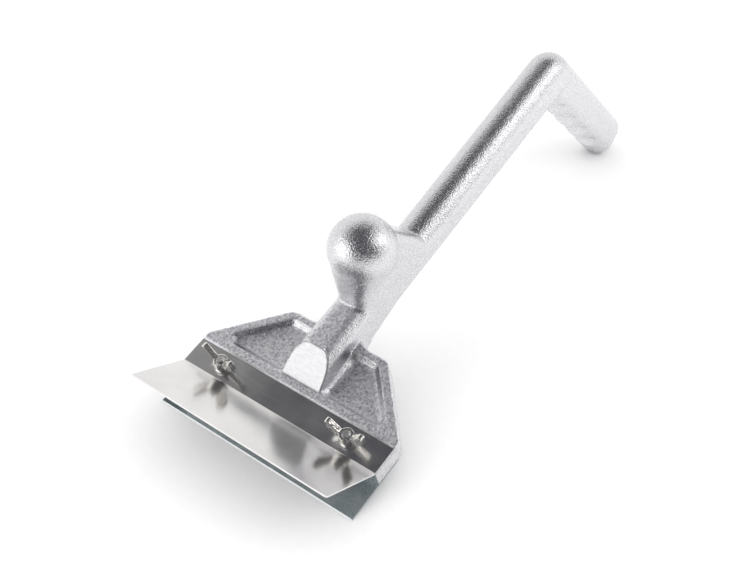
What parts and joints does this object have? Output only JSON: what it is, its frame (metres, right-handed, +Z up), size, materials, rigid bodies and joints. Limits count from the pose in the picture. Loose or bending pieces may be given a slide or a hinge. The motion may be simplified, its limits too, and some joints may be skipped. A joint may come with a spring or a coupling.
{
  "type": "algae scraper",
  "caption": "Two-handed algae scraper: cast aluminium body with a ball knob and a pistol grip, a bent steel deflector, and a flat blade clamped by wing nuts.",
  "frame": {"origin": "centre of the bounding box's base, on the table the tool lies on", "axes": "+X across the blade, +Y from the blade back to the pistol grip, +Z up. The tool lies on its blade edge and on the toe of its grip, so the head is tilted 14.7 degrees back from level."},
  "size_m": [0.15, 0.433, 0.1244],
  "materials": {
    "cast_aluminium": "rough bright casting, sand texture",
    "polished_stainless": "polished bent sheet",
    "blade_steel": "dark satin tool steel with a bright ground bevel",
    "clamp_steel": "satin stainless flat bar",
    "screw_steel": "plain stainless",
    "nickel_plate": "bright nickel plated casting"
  },
  "bodies": {
    "casting": {"body_casting": "cast_aluminium", "deflector_guard": "polished_stainless", "blade_clamp_bar": "clamp_steel", "clamp_screw_left": "screw_steel", "clamp_screw_right": "screw_steel"},
    "blade": {"scraper_blade": "blade_steel"},
    "left_washer": {"washer_left": "screw_steel"},
    "left_wing_nut": {"wing_nut_left": "nickel_plate"},
    "right_washer": {"washer_right": "screw_steel"},
    "right_wing_nut": {"wing_nut_right": "nickel_plate"}
  },
  "joints": [
    {"name": "wing_nut_left_turn", "type": "hinge", "parent": "casting", "child": "left_washer", "pos_m": [-0.049, -0.16728, 0.02164], "axis": [0, -0.2533, 0.9674], "range_deg": [0, 1800]},
    {"name": "wing_nut_left_rise", "type": "slide", "parent": "left_washer", "child": "left_wing_nut", "axis": [0, -0.2533, 0.9674], "range_m": [0, 0.004]},
    {"name": "wing_nut_right_turn", "type": "hinge", "parent": "casting", "child": "right_washer", "pos_m": [0.049, -0.16728, 0.02164], "axis": [0, -0.2533, 0.9674], "range_deg": [0, 1800]},
    {"name": "wing_nut_right_rise", "type": "slide", "parent": "right_washer", "child": "right_wing_nut", "axis": [0, -0.2533, 0.9674], "range_m": [0, 0.004]},
    {"name": "blade_slide", "type": "slide", "parent": "casting", "child": "blade", "axis": [0, -0.9674, -0.2533], "range_m": [0, 0.03]}
  ],
  "couplings": [
    {"joint": "wing_nut_left_rise", "follows": "wing_nut_left_turn", "m_per_rad": 0.00012732},
    {"joint": "wing_nut_right_rise", "follows": "wing_nut_right_turn", "m_per_rad": 0.00012732}
  ]
}
